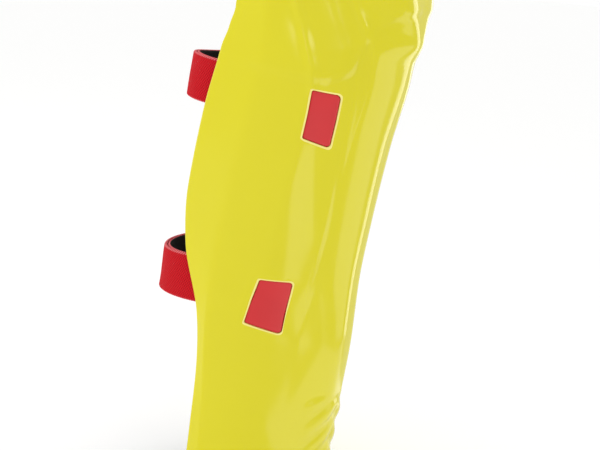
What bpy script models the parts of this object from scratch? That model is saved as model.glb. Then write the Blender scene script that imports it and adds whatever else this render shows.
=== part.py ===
"""Ski racing shin guard: a hard shell with a knee cup, a foam liner inside it and two elastic straps behind.

Metres, +Z up, +X to the front of the leg, +Y to its left. The guard stands on the flat lower rim of its
shell with its shin leaning forward, and the origin is under the middle of its length from front to back.
The shell is a loft of sections, each given by the creases that run down it. Everything else takes its place
from the same sections: the windows, the strap ends behind them, the patches in them and the liner.
"""

from collections import namedtuple
from math import ceil, cos, hypot, pi, radians, sin, sqrt

import bpy
from mathutils import Vector

# Size of the shell
GUARD_HEIGHT = 0.438
GUARD_DEPTH = 0.130
HALF_WIDTH = 0.0655
LEAN_REACH = 0.051
SECTION_TILT = radians(9.5)
SHELL_WALL = 0.0026

# Clearances between pieces that touch
SEAT_GAP = 0.0003
LAYER_GAP = 0.0003

# Foam liner
FOAM_THICKNESS = 0.005
FOAM_INSET = 0.005
POCKET_MARGIN = 0.001
POCKET_RAMP = 0.003

# Straps: each is a loop of two overlapping layers
STRAP_WIDTH = 0.035
STRAP_THICKNESS = 0.0026
STRAP_START = 0.14
INNER_TAIL = 0.003
OVERLAP_SHARE = 0.9

# Windows in the shell, with the anchor patches that fill them
CORNER_FRONT = 0.0035
CORNER_REAR = 0.0015
PATCH_CLEARANCE = 0.0003
PATCH_RECESS = 0.0008

# Raised chevron ribs over the instep and the raised edge of the knee cup
RIB_TOP = 0.090
RIB_PITCH = 0.0205
RIB_RISE = 0.0018
RIB_REACH = 0.034
RIB_SLOPE = 0.95
KNEE_RISE = 0.0018
KNEE_EDGE = 0.008

# Rounded crown and cut-away heels of the outline, with the starts as shares of the height or the way round
CROWN_START = 0.84
CROWN_DROP = 0.016
CORNER_DROP = 0.016
HEEL_END = 0.18
HEEL_START = 0.86
HEEL_RISE = 0.016

# Spacing of the loft
ROW_SPACING = 0.017
RIB_ROWS = 4
LOOP_STEPS = 22

# Steps over which the face's slopes are found: up it, as shares of GUARD_HEIGHT, and across it, of one face
NORMAL_RISE = 0.009
SLOPE_RISE = 0.0023
NORMAL_STRIDE = 0.02

# Sections from the lower rim to the top of the knee cup. Height is a share of GUARD_HEIGHT, forward of
# LEAN_REACH and tilt of SECTION_TILT. Each crease is its way back, a share of GUARD_DEPTH, and its way
# out from the middle, a share of HALF_WIDTH: ridge, panel, step, side, wide and rear, from front to back.
Section = namedtuple("Section", "height forward tilt ridge panel step side wide rear")
SECTIONS = (
    Section(0.000, 0.000, 0.00, (0.010, 0.130), (0.135, 0.530), (0.190, 0.602),
            (0.455, 0.785), (0.675, 0.809), (0.760, 0.765)),
    Section(0.096, 0.040, 0.37, (0.009, 0.150), (0.161, 0.518), (0.214, 0.592),
            (0.468, 0.787), (0.666, 0.824), (0.750, 0.779)),
    Section(0.192, 0.136, 0.68, (0.007, 0.160), (0.183, 0.502), (0.232, 0.577),
            (0.487, 0.790), (0.697, 0.847), (0.766, 0.794)),
    Section(0.297, 0.238, 1.00, (0.006, 0.158), (0.190, 0.483), (0.227, 0.552),
            (0.487, 0.809), (0.741, 0.885), (0.826, 0.824)),
    Section(0.408, 0.290, 1.00, (0.003, 0.128), (0.139, 0.473), (0.162, 0.538),
            (0.399, 0.832), (0.729, 0.924), (0.943, 0.863)),
    Section(0.518, 0.414, 1.00, (0.003, 0.115), (0.121, 0.473), (0.140, 0.538),
            (0.366, 0.847), (0.708, 0.947), (0.990, 0.893)),
    Section(0.654, 0.600, 1.00, (0.000, 0.112), (0.110, 0.481), (0.156, 0.550),
            (0.338, 0.863), (0.695, 0.969), (0.984, 0.916)),
    Section(0.761, 0.818, 1.00, (0.001, 0.092), (0.108, 0.504), (0.185, 0.580),
            (0.373, 0.885), (0.699, 0.985), (0.975, 0.939)),
    Section(0.800, 0.875, 0.97, (0.004, 0.088), (0.112, 0.528), (0.221, 0.614),
            (0.431, 0.899), (0.704, 0.994), (0.950, 0.948)),
    Section(0.840, 1.005, 0.90, (0.007, 0.115), (0.183, 0.565), (0.319, 0.664),
            (0.536, 0.916), (0.753, 1.000), (0.963, 0.954)),
    Section(0.914, 0.945, 0.58, (0.004, 0.358), (0.298, 0.656), (0.394, 0.763),
            (0.558, 0.947), (0.696, 1.000), (0.821, 0.954)),
    Section(0.962, 0.805, 0.10, (0.006, 0.386), (0.300, 0.672), (0.375, 0.779),
            (0.521, 0.931), (0.625, 0.985), (0.718, 0.931)),
    Section(1.000, 0.655, -0.68, (0.007, 0.384), (0.309, 0.641), (0.371, 0.733),
            (0.490, 0.885), (0.577, 0.935), (0.665, 0.885)),
)

# How far each face between two creases bows out, as a share of its width. The step is a shallow groove.
Bow = namedtuple("Bow", "ridge panel step side wall wing")
BOW = Bow(ridge=0.03, panel=0.05, step=-0.06, side=0.05, wall=0.02, wing=0.0)

# Where the loft has its lines between the creases: a whole number is a crease, counted from the middle.
COLUMNS = (0, 1, 1.33, 1.67, 2, 2.5, 3, 3.12, 3.55, 4, 4.5, 5, 5.33, 5.67, 6)
STEP_CREASE = 3
SIDE_CREASE = 4
REAR_EDGE = 6
POCKET_START = 3.12

# Edge of the knee cup: the height that it crosses at each place across, as shares of GUARD_HEIGHT
KneeEdge = namedtuple("KneeEdge", "place height")
KNEE_LINE = (
    KneeEdge(0, 0.884),
    KneeEdge(1, 0.877),
    KneeEdge(2, 0.838),
    KneeEdge(3.6, 0.750),
    KneeEdge(6, 0.735),
)

# Straps. Height is that of the strap's middle line at the ridge, a share of GUARD_HEIGHT. The loop's upper
# and lower edge reach back behind the shell by shares of GUARD_DEPTH, it droops from the section plane, and
# its far side sags by a share of STRAP_WIDTH.
Strap = namedtuple("Strap", "name height upper_reach lower_reach droop sag window")
# Window of a strap, as shares of STRAP_WIDTH: its gap to the side crease, its width along the top, how much
# wider it is along the bottom, and the heights of its four corners over the strap's middle line.
Window = namedtuple("Window", "crease_gap width splay rear_top front_top rear_bottom front_bottom")
STRAPS = (
    Strap("upper", 0.6975, 0.332, 0.286, radians(5.0), 0.13,
          Window(0.014, 0.637, 0.00, 0.51, 0.51, -0.52, -0.63)),
    Strap("lower", 0.3480, 0.325, 0.455, radians(11.0), 0.00,
          Window(-0.050, 0.720, 0.14, 0.585, 0.69, -0.505, -0.57)),
)

SIDES = {"right": -1, "left": 1}
MATERIALS = {
    "shell": ((0.75, 0.66, 0.035), 0.16),
    "foam": ((0.012, 0.012, 0.013), 0.85),
    "webbing": ((0.55, 0.02, 0.03), 0.75),
    "anchor": ((0.62, 0.05, 0.055), 0.45),
}


def smooth_curve(places, values):
    """A monotone cubic through the given values, as a function of the place."""
    steps = [(b - a) / (q - p) for p, q, a, b in zip(places, places[1:], values, values[1:])]
    slopes = [steps[0]]
    for before, after in zip(steps, steps[1:]):
        slopes.append(2 * before * after / (before + after) if before * after > 0 else 0)
    slopes.append(steps[-1])

    def curve(place):
        index = max(0, min(len(steps) - 1, sum(p <= place for p in places) - 1))
        width = places[index + 1] - places[index]
        t = (place - places[index]) / width
        start, end = values[index], values[index + 1]
        bend = (3 - 2 * t) * t * t
        return (
            start + (end - start) * bend
            + width * t * (1 - t) * ((1 - t) * slopes[index] - t * slopes[index + 1])
        )

    return curve


def crease_curves():
    """For each crease, its way back and its way out in metres as functions of the height share."""
    heights = [section.height for section in SECTIONS]
    curves = []
    for crease in Section._fields[3:]:
        backs = [getattr(section, crease)[0] * GUARD_DEPTH for section in SECTIONS]
        outs = [getattr(section, crease)[1] * HALF_WIDTH for section in SECTIONS]
        curves.append((smooth_curve(heights, backs), smooth_curve(heights, outs)))
    return curves


HEIGHT_SHARES = [section.height for section in SECTIONS]
FORWARD = smooth_curve(HEIGHT_SHARES, [section.forward * LEAN_REACH for section in SECTIONS])
TILT = smooth_curve(HEIGHT_SHARES, [section.tilt * SECTION_TILT for section in SECTIONS])
CREASES = crease_curves()
KNEE_PLACES = [edge.place for edge in KNEE_LINE]
KNEE_HEIGHT = smooth_curve(KNEE_PLACES, [edge.height * GUARD_HEIGHT for edge in KNEE_LINE])


def smooth_step(low, high, value):
    t = max(0.0, min(1.0, (value - low) / (high - low)))
    return t * t * (3 - 2 * t)


def crease_place(height, index):
    """(back, out) of one crease in the section at this height; crease 0 is the middle of the front."""
    if index == 0:
        return 0.0, 0.0
    back, out = CREASES[index - 1]
    share = height / GUARD_HEIGHT
    return back(share), out(share)


def section_place(height, place):
    """(back, out) of a place across the section. Between two creases the face bows out a little."""
    across = abs(place)
    index = min(int(across), REAR_EDGE - 1)
    t = across - index
    near_back, near_out = crease_place(height, index)
    far_back, far_out = crease_place(height, index + 1)
    run_back, run_out = far_back - near_back, far_out - near_out
    bow = 4 * t * (1 - t) * BOW[index]
    back = near_back + run_back * t - run_out * bow
    out = near_out + run_out * t + run_back * bow
    return back, out if place >= 0 else -out


def section_point(height, back, out):
    """The point of the section plane at this height. The plane tilts up towards the back of the leg."""
    share = height / GUARD_HEIGHT
    tilt = TILT(share)
    return Vector((FORWARD(share) - back * cos(tilt), out, height + back * sin(tilt)))


def face_point(height, place):
    return section_point(height, *section_place(height, place))


def face_normal(height, place):
    """Outward normal, with the two faces beside a crease counting equally."""
    here = face_point(height, place)
    across = Vector()
    for sign in (-1, 1):
        beside = place + sign * NORMAL_STRIDE
        if abs(beside) <= REAR_EDGE:
            across += (face_point(height, beside) - here).normalized() * sign
    rise = NORMAL_RISE * GUARD_HEIGHT
    low, high = max(0.0, height - rise), min(GUARD_HEIGHT, height + rise)
    upward = face_point(high, place) - face_point(low, place)
    return across.cross(upward).normalized()


def relief(height, place):
    """How far the outer face stands out: chevron ribs low at the front, and the raised knee cup."""
    reach = hypot(*section_place(height, place))
    wave = 0.5 + 0.5 * cos(2 * pi * (height + RIB_SLOPE * reach) / RIB_PITCH)
    below = 1 - smooth_step(RIB_TOP - RIB_PITCH / 2, RIB_TOP, height)
    ahead = 1 - smooth_step(RIB_REACH / 2, RIB_REACH, reach)
    edge = KNEE_HEIGHT(abs(place))
    cup = smooth_step(edge, edge + KNEE_EDGE, height)
    faded = 1 - smooth_step(STEP_CREASE, REAR_EDGE, abs(place))
    return RIB_RISE * wave * below * ahead + KNEE_RISE * cup * faded


def trimmed(height, place):
    """Bends a line of the loft near its ends, so that the crown is rounded and the heels are cut away."""
    aside = abs(place) / REAR_EDGE
    if height > CROWN_START * GUARD_HEIGHT:
        part = (height / GUARD_HEIGHT - CROWN_START) / (1 - CROWN_START)
        return height - part * (CROWN_DROP * aside ** 2 + CORNER_DROP * aside ** 12)
    if height < HEEL_END * GUARD_HEIGHT:
        part = 1 - height / (HEEL_END * GUARD_HEIGHT)
        return height + part * HEEL_RISE * smooth_step(HEEL_START, 1, aside) ** 2
    return height


def wall_point(height, place, depth):
    """A point at this depth below the smooth outer face. On the lower rim it stays on the floor."""
    point = face_point(height, place) - face_normal(height, place) * depth
    if height <= 0:
        point.z = 0.0
    return point


def outer_point(height, place):
    return wall_point(height, place, -relief(height, place))


def face_width(height, index):
    """Distance across the face between two neighbouring creases."""
    return (face_point(height, index + 1) - face_point(height, index)).length


def place_ahead(height, crease, distance):
    """The place that lies this far in front of a crease."""
    return crease - distance / face_width(height, crease - 1)


def ridge_step(height, distance):
    """How far the height changes when a level plane moves by this distance along its own normal."""
    share = height / GUARD_HEIGHT
    tilt = TILT(share)
    ahead = FORWARD(share + SLOPE_RISE) - FORWARD(share - SLOPE_RISE)
    return distance / (cos(tilt) + sin(tilt) * ahead / (2 * SLOPE_RISE * GUARD_HEIGHT))


def strap_height(strap):
    return strap.height * GUARD_HEIGHT


def pocket_heights(strap):
    """The four heights between which the liner sinks under a strap and rises again."""
    middle = strap_height(strap)
    inner = ridge_step(middle, STRAP_WIDTH / 2 + POCKET_MARGIN)
    outer = ridge_step(middle, STRAP_WIDTH / 2 + POCKET_MARGIN + POCKET_RAMP)
    return middle - outer, middle - inner, middle + inner, middle + outer


def filled(stops, spacing):
    """The stops, with evenly spaced heights between them."""
    heights = [stops[0]]
    for low, high in zip(stops, stops[1:]):
        parts = max(1, ceil((high - low) / spacing - 0.01))
        heights += [low + (high - low) * (i + 1) / parts for i in range(parts)]
    return heights


def body_stops():
    pockets = [height for strap in reversed(STRAPS) for height in pocket_heights(strap)]
    return [RIB_TOP, *pockets, GUARD_HEIGHT - FOAM_INSET]


def shell_heights():
    ribs = filled([0.0, RIB_TOP], RIB_PITCH / RIB_ROWS)
    return ribs[:-1] + filled(body_stops(), ROW_SPACING) + [GUARD_HEIGHT]


def liner_heights():
    return filled([FOAM_INSET, *body_stops()], ROW_SPACING)


def both_sides(places):
    return [-place for place in reversed(places) if place > 0] + list(places)


def closed_sheet(outer, inner):
    """Points and faces of the closed wall between two grids of points, row by row.

    Both grids split their squares along the same diagonals, which mirror each other about the middle column.
    """
    rows, columns = len(outer), len(outer[0])
    points = [point for row in outer + inner for point in row]

    def index(layer, row, column):
        return (layer * rows + row) * columns + column

    faces = []
    for row in range(rows - 1):
        for column in range(columns - 1):
            a, b = (row, column), (row, column + 1)
            c, d = (row + 1, column + 1), (row + 1, column)
            mirrored = 2 * column >= columns - 1
            for corners in ((a, b, d), (b, c, d)) if mirrored else ((a, b, c), (a, c, d)):
                faces.append([index(0, *corner) for corner in corners])
                faces.append([index(1, *corner) for corner in reversed(corners)])
    rim = [(0, column) for column in range(columns - 1)]
    rim += [(row, columns - 1) for row in range(rows - 1)]
    rim += [(rows - 1, column) for column in range(columns - 1, 0, -1)]
    rim += [(row, 0) for row in range(rows - 1, 0, -1)]
    for near, far in zip(rim, rim[1:] + rim[:1]):
        faces.append([index(0, *far), index(0, *near), index(1, *near), index(1, *far)])
    return points, faces


def shell_body():
    heights = shell_heights()
    places = both_sides(COLUMNS)
    lines = [[(trimmed(height, place), place) for place in places] for height in heights]
    outer = [[outer_point(*spot) for spot in line] for line in lines]
    inner = [[wall_point(*spot, SHELL_WALL) for spot in line] for line in lines]
    return closed_sheet(outer, inner)


def pocket_depth(height, place):
    """How far the liner's outer face sinks to make room for a strap's end."""
    deep = 0.0
    for strap in STRAPS:
        low, low_full, high_full, high = pocket_heights(strap)
        level = smooth_step(low, low_full, height) * (1 - smooth_step(high_full, high, height))
        deep = max(deep, level * smooth_step(STEP_CREASE, POCKET_START, abs(place)))
    return deep * (STRAP_THICKNESS + SEAT_GAP)


def liner_body():
    """The foam follows the shell's inner face and stops short of its edges."""
    outer, inner = [], []
    for height in liner_heights():
        last = place_ahead(height, REAR_EDGE, FOAM_INSET)
        scale = (last - SIDE_CREASE - 1) / (REAR_EDGE - SIDE_CREASE - 1)
        wing = SIDE_CREASE + 1
        fitted = [place if place <= wing else wing + (place - wing) * scale for place in COLUMNS]
        places = both_sides(fitted)
        line = [(trimmed(height, place), place) for place in places]
        seats = [SHELL_WALL + SEAT_GAP + pocket_depth(*spot) for spot in line]
        outer.append([wall_point(*spot, seat) for spot, seat in zip(line, seats)])
        deep = [seat + FOAM_THICKNESS for seat in seats]
        inner.append([wall_point(*spot, depth) for spot, depth in zip(line, deep)])
    return closed_sheet(outer, inner)


def band_rows(strap):
    """(height at the ridge, edge) of the section planes that hold the strap's two edges and its middle."""
    middle = strap_height(strap)
    half = ridge_step(middle, STRAP_WIDTH / 2)
    return (middle + half, 1.0), (middle, 0.5), (middle - half, 0.0)


def loop_curve(strap, height, edge, swell):
    """A half ellipse behind the shell, from the right wing to the left, at one height across the strap.

    At no swell it is the outer face of the inner layer, which lies under the outer layer at the right wing
    and against the shell at the left one. Edge is 1 at the strap's upper edge and 0 at its lower one.
    """
    seat = SHELL_WALL + SEAT_GAP
    right = wall_point(height, -REAR_EDGE, seat + STRAP_THICKNESS + LAYER_GAP)
    left = wall_point(height, REAR_EDGE, seat)
    middle, half = (right.y + left.y) / 2, (left.y - right.y) / 2
    reach = GUARD_DEPTH * (strap.lower_reach + (strap.upper_reach - strap.lower_reach) * edge) + swell
    rise = TILT(height / GUARD_HEIGHT) - strap.droop
    back = Vector((-cos(rise), 0.0, sin(rise)))

    def point(turn):
        out = middle - (half + swell) * cos(turn)
        sunk = strap.sag * STRAP_WIDTH * sin(turn) ** 2 * (1 - cos(turn))
        return Vector((left.x, out, left.z - sunk)) + back * (reach * sin(turn))

    return point


def shell_run(height, side, start, depth):
    """Points along the shell's inner face from a place to the rear edge."""
    places = [start] + [place for place in COLUMNS if place > start + NORMAL_STRIDE]
    return [wall_point(height, side * place, depth) for place in places]


def outer_layer(strap):
    """Anchored behind the right window, it runs over the inner layer and stops short of the left wing."""
    seat = SHELL_WALL + SEAT_GAP
    turns = [pi * OVERLAP_SHARE * (i + 1) / LOOP_STEPS for i in range(LOOP_STEPS)]
    outer, inner = [], []
    for height, edge in band_rows(strap):
        start = STEP_CREASE + STRAP_START
        outside = loop_curve(strap, height, edge, LAYER_GAP + STRAP_THICKNESS)
        inside = loop_curve(strap, height, edge, LAYER_GAP)
        outer.append(shell_run(height, -1, start, seat) + [outside(turn) for turn in turns])
        inner.append(shell_run(height, -1, start, seat + STRAP_THICKNESS) + [inside(turn) for turn in turns])
    return closed_sheet(outer, inner)


def inner_layer(strap):
    """Anchored behind the left window, it runs round to just inside the right wing."""
    seat = SHELL_WALL + SEAT_GAP
    under = seat + STRAP_THICKNESS + LAYER_GAP
    turns = [pi * (i + 1) / (LOOP_STEPS + 1) for i in range(LOOP_STEPS)]
    outer, inner = [], []
    for height, edge in band_rows(strap):
        start = STEP_CREASE + STRAP_START
        tail = -place_ahead(height, REAR_EDGE, INNER_TAIL)
        outside = loop_curve(strap, height, edge, 0.0)
        inside = loop_curve(strap, height, edge, -STRAP_THICKNESS)
        for rows, curve, depth in ((outer, outside, 0.0), (inner, inside, STRAP_THICKNESS)):
            first = [wall_point(height, place, under + depth) for place in (tail, -REAR_EDGE)]
            last = shell_run(height, 1, start, seat + depth)[::-1]
            rows.append(first + [curve(turn) for turn in turns] + last)
    return closed_sheet(outer, inner)


def window_lines(window, margin):
    """(rear to front share, lowest, highest) across a window with rounded corners, grown by a margin."""
    wide = window.width * STRAP_WIDTH
    turned = 1 - sqrt(0.5)
    corner = ((0, 1), (turned, turned), (1, 0))
    stops = [(CORNER_REAR * share - margin, CORNER_REAR * drop) for share, drop in corner]
    stops.append((wide / 2, 0.0))
    last = wide + margin
    stops += [(last - CORNER_FRONT * share, CORNER_FRONT * drop) for share, drop in reversed(corner)]
    lines = []
    for ahead, drop in stops:
        share = ahead / wide
        low = window.rear_bottom + (window.front_bottom - window.rear_bottom) * share
        high = window.rear_top + (window.front_top - window.rear_top) * share
        lines.append((share, low * STRAP_WIDTH - margin + drop, high * STRAP_WIDTH + margin - drop))
    return lines


def window_place(window, height, share, up):
    """The place across the shell of a point in the window, by its shares of the way forward and up."""
    wide = window.width + window.splay * (1 - up)
    return place_ahead(height, SIDE_CREASE, (window.crease_gap + wide * share) * STRAP_WIDTH)


def window_body(strap, side, margin, shallow, deep):
    """The closed block that fills a window between two depths, grown by a margin all round.

    Its sides run straight in along the normal at the middle of the window.
    """
    middle, window = strap_height(strap), strap.window
    inward = -face_normal(middle, side * window_place(window, middle, 0.5, 0.5))
    outer, inner = [], []
    for up in (0.0, 0.5, 1.0):
        row = []
        for share, low, high in window_lines(window, margin):
            height = middle + low + (high - low) * up
            row.append(face_point(height, side * window_place(window, height, share, up)))
        if side > 0:
            row.reverse()
        outer.append([point + inward * shallow for point in row])
        inner.append([point + inward * deep for point in row])
    return closed_sheet(outer, inner)


def material(name):
    color, roughness = MATERIALS[name]
    made = bpy.data.materials.new(name)
    made.use_nodes = True
    shader = made.node_tree.nodes["Principled BSDF"]
    shader.inputs["Base Color"].default_value = (*color, 1.0)
    shader.inputs["Roughness"].default_value = roughness
    shader.inputs["Metallic"].default_value = 0.0
    return made


def add_object(name, body, shift, made):
    points, faces = body
    mesh = bpy.data.meshes.new(name)
    mesh.from_pydata([point + shift for point in points], [], faces)
    mesh.materials.append(made)
    mesh.shade_smooth()
    mesh.set_sharp_from_angle(angle=radians(30))
    placed = bpy.data.objects.new(name, mesh)
    bpy.context.scene.collection.objects.link(placed)
    return placed


def cut_windows(shell, cutters):
    """Cuts each window through the shell's wall."""
    for cutter in cutters:
        cutter.hide_render = True
        cutter.display_type = "WIRE"
        cut = shell.modifiers.new(cutter.name, "BOOLEAN")
        cut.operation = "DIFFERENCE"
        cut.solver = "EXACT"
        cut.object = cutter


def guard_bodies():
    """Every piece by name, with its material, in the frame of the lower rim's front."""
    bodies = {"shell": (shell_body(), "shell"), "foam_liner": (liner_body(), "foam")}
    for strap in STRAPS:
        bodies[f"{strap.name}_strap_outer"] = (outer_layer(strap), "webbing")
        bodies[f"{strap.name}_strap_inner"] = (inner_layer(strap), "webbing")
        for word, side in SIDES.items():
            patch = window_body(strap, side, -PATCH_CLEARANCE, PATCH_RECESS, SHELL_WALL)
            bodies[f"{strap.name}_anchor_{word}"] = (patch, "anchor")
    return bodies


def footprint_shift(bodies):
    """Moves the middle of the whole guard over the origin."""
    reaches = [point.x for (points, _), _ in bodies.values() for point in points]
    return Vector((-(min(reaches) + max(reaches)) / 2, 0.0, 0.0))


def main():
    for old in list(bpy.data.objects):
        bpy.data.objects.remove(old, do_unlink=True)
    bodies = guard_bodies()
    shift = footprint_shift(bodies)
    made = {name: material(name) for name in MATERIALS}
    placed = {}
    for name, (body, finish) in bodies.items():
        placed[name] = add_object(name, body, shift, made[finish])
    cutters = []
    for strap in STRAPS:
        for word, side in SIDES.items():
            block = window_body(strap, side, 0.0, -2 * SHELL_WALL, 1.5 * SHELL_WALL)
            cutters.append(add_object(f"{strap.name}_window_{word}", block, shift, made["anchor"]))
    cut_windows(placed["shell"], cutters)


main()
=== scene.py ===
"""Ski racing shin guard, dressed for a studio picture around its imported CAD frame.

Metres, +Z up, +X to the front of the leg, +Y to its left, as in the frame. The shell, its liner, the strap
loops and the window patches are built again at a fine pitch from the sections that the CAD is lofted through.
"""

from collections import namedtuple
from math import ceil, cos, pi, radians, sin

import bmesh
import bpy
import numpy as np
from bpy.props import FloatProperty, FloatVectorProperty, PointerProperty
from mathutils import Matrix, Vector


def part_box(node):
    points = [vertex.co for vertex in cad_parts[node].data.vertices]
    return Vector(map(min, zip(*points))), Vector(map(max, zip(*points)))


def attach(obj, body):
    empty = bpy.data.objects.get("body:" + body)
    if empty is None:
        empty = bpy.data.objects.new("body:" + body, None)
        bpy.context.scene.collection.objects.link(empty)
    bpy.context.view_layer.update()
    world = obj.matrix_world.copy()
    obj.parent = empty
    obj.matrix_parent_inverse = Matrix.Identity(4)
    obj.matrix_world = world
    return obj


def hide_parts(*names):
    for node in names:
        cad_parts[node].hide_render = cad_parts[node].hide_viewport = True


bl_info = {
    "name": "Ski racing shin guard",
    "version": (1, 0, 0),
    "blender": (4, 5, 0),
    "location": "3D View > Sidebar > Shin guard",
    "description": "Builds the detailed shell, liner, straps and patches of a shin guard",
    "category": "Object",
}

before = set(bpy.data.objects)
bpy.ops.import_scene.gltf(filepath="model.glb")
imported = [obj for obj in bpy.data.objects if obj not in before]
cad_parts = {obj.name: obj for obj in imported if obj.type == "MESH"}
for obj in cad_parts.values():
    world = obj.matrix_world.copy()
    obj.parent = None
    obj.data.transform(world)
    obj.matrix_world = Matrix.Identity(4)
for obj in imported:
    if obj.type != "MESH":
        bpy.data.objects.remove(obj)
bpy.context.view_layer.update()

# Size of the shell
GUARD_HEIGHT = 0.438
GUARD_DEPTH = 0.130
HALF_WIDTH = 0.0655
LEAN_REACH = 0.051
SECTION_TILT = radians(9.5)
SHELL_WALL = 0.0026

# Clearances between pieces that touch
SEAT_GAP = 0.0003
LAYER_GAP = 0.0003

# Foam liner
FOAM_THICKNESS = 0.005
FOAM_INSET = 0.005
POCKET_MARGIN = 0.001
POCKET_RAMP = 0.003

# Straps
STRAP_WIDTH = 0.035
STRAP_THICKNESS = 0.0026
STRAP_START = 0.14
INNER_TAIL = 0.003
OVERLAP_SHARE = 0.9

# Windows and patches
CORNER_FRONT = 0.0035
CORNER_REAR = 0.0015
PATCH_CLEARANCE = 0.0003
PATCH_RECESS = 0.0008

# Ribs over the instep and the edge of the knee cup
RIB_TOP = 0.090
RIB_PITCH = 0.0205
RIB_RISE = 0.0018
RIB_REACH = 0.034
RIB_SLOPE = 0.95
KNEE_RISE = 0.0018
KNEE_EDGE = 0.008

# Rounded crown and cut-away heels
CROWN_START = 0.84
CROWN_DROP = 0.016
CORNER_DROP = 0.016
HEEL_END = 0.18
HEEL_START = 0.86
HEEL_RISE = 0.016

# Height as a share of GUARD_HEIGHT, forward of LEAN_REACH, tilt of SECTION_TILT. Each crease is its way back,
# a share of GUARD_DEPTH, and its way out from the middle, a share of HALF_WIDTH.
Section = namedtuple("Section", "height forward tilt ridge panel step side wide rear")
SECTIONS = (
    Section(0.000, 0.000, 0.00, (0.010, 0.130), (0.135, 0.530), (0.190, 0.602),
            (0.455, 0.785), (0.675, 0.809), (0.760, 0.765)),
    Section(0.096, 0.040, 0.37, (0.009, 0.150), (0.161, 0.518), (0.214, 0.592),
            (0.468, 0.787), (0.666, 0.824), (0.750, 0.779)),
    Section(0.192, 0.136, 0.68, (0.007, 0.160), (0.183, 0.502), (0.232, 0.577),
            (0.487, 0.790), (0.697, 0.847), (0.766, 0.794)),
    Section(0.297, 0.238, 1.00, (0.006, 0.158), (0.190, 0.483), (0.227, 0.552),
            (0.487, 0.809), (0.741, 0.885), (0.826, 0.824)),
    Section(0.408, 0.290, 1.00, (0.003, 0.128), (0.139, 0.473), (0.162, 0.538),
            (0.399, 0.832), (0.729, 0.924), (0.943, 0.863)),
    Section(0.518, 0.414, 1.00, (0.003, 0.115), (0.121, 0.473), (0.140, 0.538),
            (0.366, 0.847), (0.708, 0.947), (0.990, 0.893)),
    Section(0.654, 0.600, 1.00, (0.000, 0.112), (0.110, 0.481), (0.156, 0.550),
            (0.338, 0.863), (0.695, 0.969), (0.984, 0.916)),
    Section(0.761, 0.818, 1.00, (0.001, 0.092), (0.108, 0.504), (0.185, 0.580),
            (0.373, 0.885), (0.699, 0.985), (0.975, 0.939)),
    Section(0.800, 0.875, 0.97, (0.004, 0.088), (0.112, 0.528), (0.221, 0.614),
            (0.431, 0.899), (0.704, 0.994), (0.950, 0.948)),
    Section(0.840, 1.005, 0.90, (0.007, 0.115), (0.183, 0.565), (0.319, 0.664),
            (0.536, 0.916), (0.753, 1.000), (0.963, 0.954)),
    Section(0.914, 0.945, 0.58, (0.004, 0.358), (0.298, 0.656), (0.394, 0.763),
            (0.558, 0.947), (0.696, 1.000), (0.821, 0.954)),
    Section(0.962, 0.805, 0.10, (0.006, 0.386), (0.300, 0.672), (0.375, 0.779),
            (0.521, 0.931), (0.625, 0.985), (0.718, 0.931)),
    Section(1.000, 0.655, -0.68, (0.007, 0.384), (0.309, 0.641), (0.371, 0.733),
            (0.490, 0.885), (0.577, 0.935), (0.665, 0.885)),
)

# How far each face between two creases bows out, as a share of its width
BOW = (0.03, 0.05, -0.06, 0.05, 0.02, 0.0)
STEP_CREASE = 3
SIDE_CREASE = 4
WIDE_CREASE = 5
REAR_EDGE = 6
POCKET_START = 3.12

# Edge of the knee cup, with heights as shares of GUARD_HEIGHT
KneeEdge = namedtuple("KneeEdge", "place height")
KNEE_LINE = (
    KneeEdge(0, 0.884),
    KneeEdge(1, 0.877),
    KneeEdge(2, 0.838),
    KneeEdge(3.6, 0.750),
    KneeEdge(6, 0.735),
)

# Strap height is a share of GUARD_HEIGHT, its loop's reaches are shares of GUARD_DEPTH. A window's values are
# shares of STRAP_WIDTH.
Strap = namedtuple("Strap", "name height upper_reach lower_reach droop sag window")
Window = namedtuple("Window", "crease_gap width splay rear_top front_top rear_bottom front_bottom")
STRAPS = (
    Strap("upper", 0.6975, 0.332, 0.286, radians(5.0), 0.13,
          Window(0.014, 0.637, 0.00, 0.51, 0.51, -0.52, -0.63)),
    Strap("lower", 0.3480, 0.325, 0.455, radians(11.0), 0.00,
          Window(-0.050, 0.720, 0.14, 0.585, 0.69, -0.505, -0.57)),
)
SIDES = {"right": -1, "left": 1}

# Steps over which the face's slopes are found: up it, as shares of GUARD_HEIGHT, and across it, of one face
NORMAL_RISE = 0.009
SLOPE_RISE = 0.0023
NORMAL_STRIDE = 0.02

# Fine pitch of the meshes: squares across each face, metres up the shell and the liner and along the webbing,
# and lines across the webbing and up a patch
FACE_SQUARES = (6, 15, 8, 14, 15, 11)
ROW_PITCH = 0.0021
LINER_PITCH = 0.0040
BAND_PITCH = 0.0012
BAND_LINES = 20
PATCH_LINES = 30

# Points on the curves that a strap layer is laid along: the shell's wings and the loop behind
WING_POINTS = 30
OUTER_LOOP_POINTS = 200
INNER_LOOP_POINTS = 220

# Upright lines across a window: steps in each rounded corner, and shares of its width between the corners
FINE_OUTLINE = (6, [i / 12 for i in range(2, 11)])
CAD_OUTLINE = (2, [0.5])

# Rounded rims: their lines as shares of the radius, the places that they take up and keep free at the rear
# edge, how far the two sides draw together at most, and the angles above which edges show as sharp
ROUNDING_LINES = (0.0, 0.15, 0.4, 0.7, 1.0)
REAR_RIM = 0.045
REAR_RIM_SPACING = 0.01
ROUNDING_LIMIT = 0.42
SHELL_SHARP_ANGLE = radians(40)
SHARP_ANGLE = radians(50)

# Painted highlight on the shell's rounded rims: how fast they are painted paler with their rounding, and how
# pale they are at most
RIM_HIGHLIGHT_RATE = 2.2
RIM_HIGHLIGHT_MOST = 0.6

# Window cutters: how far they reach out of the shell and into it, and the chamfer's depth for its width
CUTTER_OUTSIDE = 0.005
CUTTER_INSIDE = 2 * SHELL_WALL
CHAMFER_DEPTH = 0.5

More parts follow.
